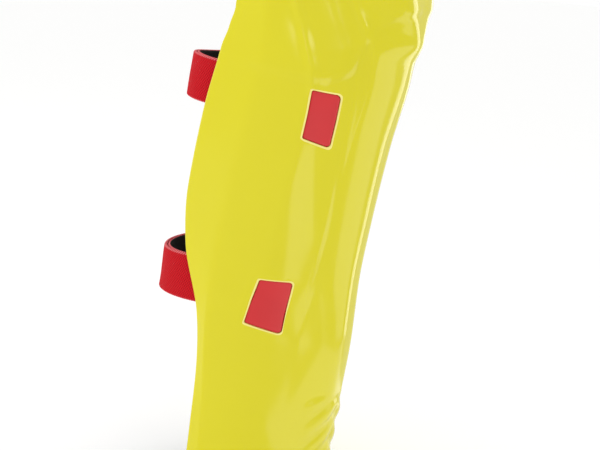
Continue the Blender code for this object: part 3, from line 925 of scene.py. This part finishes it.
class PatchSizes(bpy.types.PropertyGroup):
    patch: FloatVectorProperty(
        name="Patch", description="Colour of the window patches", subtype="COLOR", default=linear("CC2228")
    )


class LinerSizes(bpy.types.PropertyGroup):
    foam: FloatVectorProperty(
        name="Foam", description="Colour of the liner", subtype="COLOR", default=linear("1C1B1B")
    )


class StageSizes(bpy.types.PropertyGroup):
    floor: FloatVectorProperty(
        name="Floor", description="Colour of the floor", subtype="COLOR", default=linear("FDFDFC")
    )
    sky: FloatProperty(name="Sky", description="Strength of the even light from all round", default=1.0)
    lamps: FloatProperty(name="Lamps", description="Share of the soft lamps' brightness", default=1.0)
    cards: FloatProperty(name="Cards", description="Share of the reflector cards' brightness", default=1.0)


class GUARD_OT_shell(bpy.types.Operator):
    """Builds the moulded shell with its pressed lines, ribs, rounded edges and chamfered windows"""

    bl_idname = "guard.build_shell"
    bl_label = "Build shell"

    def execute(self, context):
        sizes = context.scene.guard_shell
        places = fine_places()
        heights = fine_heights(0.0, GUARD_HEIGHT, ROW_PITCH)
        rows, columns = np.meshgrid(heights, places, indexing="ij")
        rows = trimmed(rows, columns)
        smooth = smoothed_across(face_points(rows, columns), FACE_ROUNDS)
        smooth = smoothed_across(smooth, SOFT_ROUNDS, crease_softness(rows, columns))
        smooth += grid_normals(smooth) * relief(rows, columns, smooth)[..., None]
        share = rim_share(heights, places, SHELL_WALL / 2)
        outer, inner = drawn_together(smooth, wall_points(rows, columns, SHELL_WALL), share)
        for wall in (outer, inner):
            wall[..., 2] = np.where(rows <= 0, 0.0, wall[..., 2])
        shift = frame_shift()
        # The rims are painted paler with their rounding: a painted highlight where they catch the light
        finish = np.zeros((2, *rows.shape, 3))
        finish[..., 0] = np.clip(share[..., 0] * RIM_HIGHLIGHT_RATE, 0, RIM_HIGHLIGHT_MOST)
        shell = closed_sheet("moulded_shell", outer + shift, inner + shift, [("finish", finish)])
        shell.data.materials.append(glossy_moulded_plastic(sizes))
        edge = cut_plastic_edge(sizes)
        cutters = [
            window_cutter(strap, side, shift, edge, sizes.chamfer)
            for strap in STRAPS for side in SIDES.values()
        ]
        for cutter in cutters:
            cut = shell.modifiers.new("window", "BOOLEAN")
            cut.solver = "EXACT"
            cut.material_mode = "TRANSFER"
            cut.object = cutter
        apply_modifiers(shell)
        for cutter in cutters:
            bpy.data.objects.remove(cutter)
        shell.data.set_sharp_from_angle(angle=SHELL_SHARP_ANGLE)
        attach(shell, "root")
        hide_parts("shell")
        return {"FINISHED"}


class GUARD_OT_liner(bpy.types.Operator):
    """Builds the foam liner inside the shell, with rounded edges and pockets over the strap ends"""

    bl_idname = "guard.build_liner"
    bl_label = "Build liner"

    def execute(self, context):
        places = fine_places()
        heights = fine_heights(FOAM_INSET, GUARD_HEIGHT - FOAM_INSET, LINER_PITCH)
        rows, columns = np.meshgrid(heights, places, indexing="ij")
        last = place_ahead(heights, REAR_EDGE, FOAM_INSET)[:, None]
        aside = np.abs(columns)
        inset = WIDE_CREASE + (aside - WIDE_CREASE) * (last - WIDE_CREASE)
        fitted = np.where(aside <= WIDE_CREASE, aside, inset) * np.sign(columns)
        rows = trimmed(rows, fitted)
        seat = SHELL_WALL + SEAT_GAP + pocket_depth(rows, fitted)
        outer = wall_points(rows, fitted, seat)
        inner = smoothed_across(wall_points(rows, fitted, seat + FOAM_THICKNESS), LINER_ROUNDS)
        outer, inner = drawn_together(outer, inner, rim_share(heights, places, FOAM_THICKNESS / 2))
        shift = frame_shift()
        liner = closed_sheet("foam_lining", outer + shift, inner + shift)
        liner.data.materials.append(closed_cell_foam(context.scene.guard_liner))
        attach(liner, "root")
        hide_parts("foam_liner")
        return {"FINISHED"}


class GUARD_OT_straps(bpy.types.Operator):
    """Builds the two overlapping webbing layers of each strap loop"""

    bl_idname = "guard.build_straps"
    bl_label = "Build straps"

    def execute(self, context):
        sizes = context.scene.guard_straps
        webbing, backing = woven_elastic(sizes), brushed_loop_backing(sizes)
        shift = frame_shift()
        radius = STRAP_THICKNESS / 2
        across = rimmed(0.0, STRAP_WIDTH, radius, np.linspace(radius, STRAP_WIDTH - radius, BAND_LINES))
        for strap in STRAPS:
            for layer in ("outer", "inner"):
                middle = band_line(strap, layer, strap_height(strap), 0.5, 0.0)
                whole = resampled(middle, np.array([0.0]))[1]
                line = np.linspace(0, whole, int(whole / BAND_PITCH))
                along = rimmed(0.0, whole, radius, line[(line > radius) & (line < whole - radius)])
                near = band_wall(strap, layer, 0.0, across, along / whole)
                far = band_wall(strap, layer, STRAP_THICKNESS, across, along / whole)
                outer, inner = drawn_together(near, far, edge_share(across, along, radius))
                weave = np.zeros((2, *outer.shape))
                weave[..., 0] = along
                weave[..., 1] = (STRAP_WIDTH / 2 - across)[:, None]
                weave[1, ..., 2] = 1.0
                name = f"{strap.name}_webbing_{layer}"
                made = closed_sheet(name, outer + shift, inner + shift, [("weave", weave)])
                made.data.materials.append(webbing)
                made.data.materials.append(backing)
                if layer == "inner":
                    squares = (len(across) - 1) * (len(along) - 1)
                    index = np.zeros(len(made.data.polygons), int)
                    index[squares:2 * squares] = 1
                    made.data.polygons.foreach_set("material_index", index)
                made.data.set_sharp_from_angle(angle=SHARP_ANGLE)
                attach(made, "root")
                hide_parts(f"{strap.name}_strap_{layer}")
        return {"FINISHED"}


class GUARD_OT_patches(bpy.types.Operator):
    """Builds the patches that fill the windows, each over the end of a strap"""

    bl_idname = "guard.build_patches"
    bl_label = "Build patches"

    def execute(self, context):
        made = satin_moulded_patch(context.scene.guard_patches)
        shift = frame_shift()
        for strap in STRAPS:
            for word, side in SIDES.items():
                outer, inner = patch_walls(strap, side)
                patch = closed_sheet(f"{strap.name}_patch_{word}", outer + shift, inner + shift)
                patch.data.materials.append(made)
                patch.data.set_sharp_from_angle(angle=SHARP_ANGLE)
                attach(patch, "root")
                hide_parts(f"{strap.name}_anchor_{word}")
        return {"FINISHED"}


class GUARD_OT_stage(bpy.types.Operator):
    """Builds the pale floor, the soft studio light and the camera"""

    bl_idname = "guard.build_stage"
    bl_label = "Build stage"

    def execute(self, context):
        sizes = context.scene.guard_stage
        corners = [(x * FLOOR_REACH, y * FLOOR_REACH, 0.0) for x, y in ((-1, -1), (1, -1), (1, 1), (-1, 1))]
        mesh = bpy.data.meshes.new("studio_floor")
        mesh.from_pydata(corners, [], [(0, 1, 2, 3)])
        mesh.materials.append(pale_studio_floor(sizes))
        placed("studio_floor", mesh)
        world = bpy.data.worlds.new("white_studio")
        world.use_nodes = True
        background = world.node_tree.nodes["Background"]
        background.inputs["Color"].default_value = (1.0, 1.0, 1.0, 1.0)
        background.inputs["Strength"].default_value = sizes.sky
        context.scene.world = world
        context.scene.view_settings.view_transform = "Standard"
        for softbox in SOFTBOXES:
            add_softbox(softbox, sizes.lamps if softbox.lights else sizes.cards)
        back = CAMERA_BACK.normalized()
        right = (CAMERA_RIGHT - back * CAMERA_RIGHT.dot(back)).normalized()
        up = back.cross(right)
        aim = Vector((frame_shift()[0] - AIM_BEHIND_RIM, 0.0, AIM_HEIGHT))
        data = bpy.data.cameras.new("camera")
        data.lens = CAMERA_LENS
        data.sensor_width = CAMERA_SENSOR
        camera = bpy.data.objects.new("camera", data)
        context.scene.collection.objects.link(camera)
        turned = Matrix((right, up, back)).transposed().to_4x4()
        camera.matrix_world = Matrix.Translation(aim + back * CAMERA_DISTANCE) @ turned
        context.scene.camera = camera
        return {"FINISHED"}


def add_softbox(softbox, share):
    """A rectangular light that faces a point and is itself out of the picture."""
    data = bpy.data.lights.new(softbox.name, "AREA")
    data.shape = "RECTANGLE"
    data.size, data.size_y = softbox.width, softbox.height
    data.energy = softbox.brightness * share * pi * softbox.width * softbox.height
    light = bpy.data.objects.new(softbox.name, data)
    bpy.context.scene.collection.objects.link(light)
    place, target = Vector(softbox.place), Vector(softbox.target)
    faced = (target - place).to_track_quat("-Z", "Y").to_matrix().to_4x4()
    light.matrix_world = Matrix.Translation(place) @ faced @ Matrix.Rotation(softbox.turn, 4, "Z")
    light.visible_camera = False
    light.visible_diffuse = softbox.lights


class GUARD_PT_panel(bpy.types.Panel):
    """Shows a button for each step, and its settings"""

    bl_idname = "GUARD_PT_panel"
    bl_label = "Shin guard"
    bl_space_type = "VIEW_3D"
    bl_region_type = "UI"
    bl_category = "Shin guard"

    def draw(self, context):
        for operator, group, _ in STEPS:
            self.layout.operator(operator.bl_idname)
            sizes = getattr(context.scene, group)
            for name in sizes.__annotations__:
                self.layout.prop(sizes, name)


STEPS = (
    (GUARD_OT_shell, "guard_shell", ShellSizes),
    (GUARD_OT_liner, "guard_liner", LinerSizes),
    (GUARD_OT_straps, "guard_straps", StrapSizes),
    (GUARD_OT_patches, "guard_patches", PatchSizes),
    (GUARD_OT_stage, "guard_stage", StageSizes),
)
CLASSES = (*(step[2] for step in STEPS), *(step[0] for step in STEPS), GUARD_PT_panel)


def register():
    for kind in CLASSES:
        bpy.utils.register_class(kind)
    for _, name, kind in STEPS:
        setattr(bpy.types.Scene, name, PointerProperty(type=kind))


def unregister():
    for _, name, _ in STEPS:
        delattr(bpy.types.Scene, name)
    for kind in reversed(CLASSES):
        bpy.utils.unregister_class(kind)


def main():
    register()
    bpy.ops.guard.build_shell()
    bpy.ops.guard.build_liner()
    bpy.ops.guard.build_straps()
    bpy.ops.guard.build_patches()
    bpy.ops.guard.build_stage()


if __name__ == "__main__":
    main()
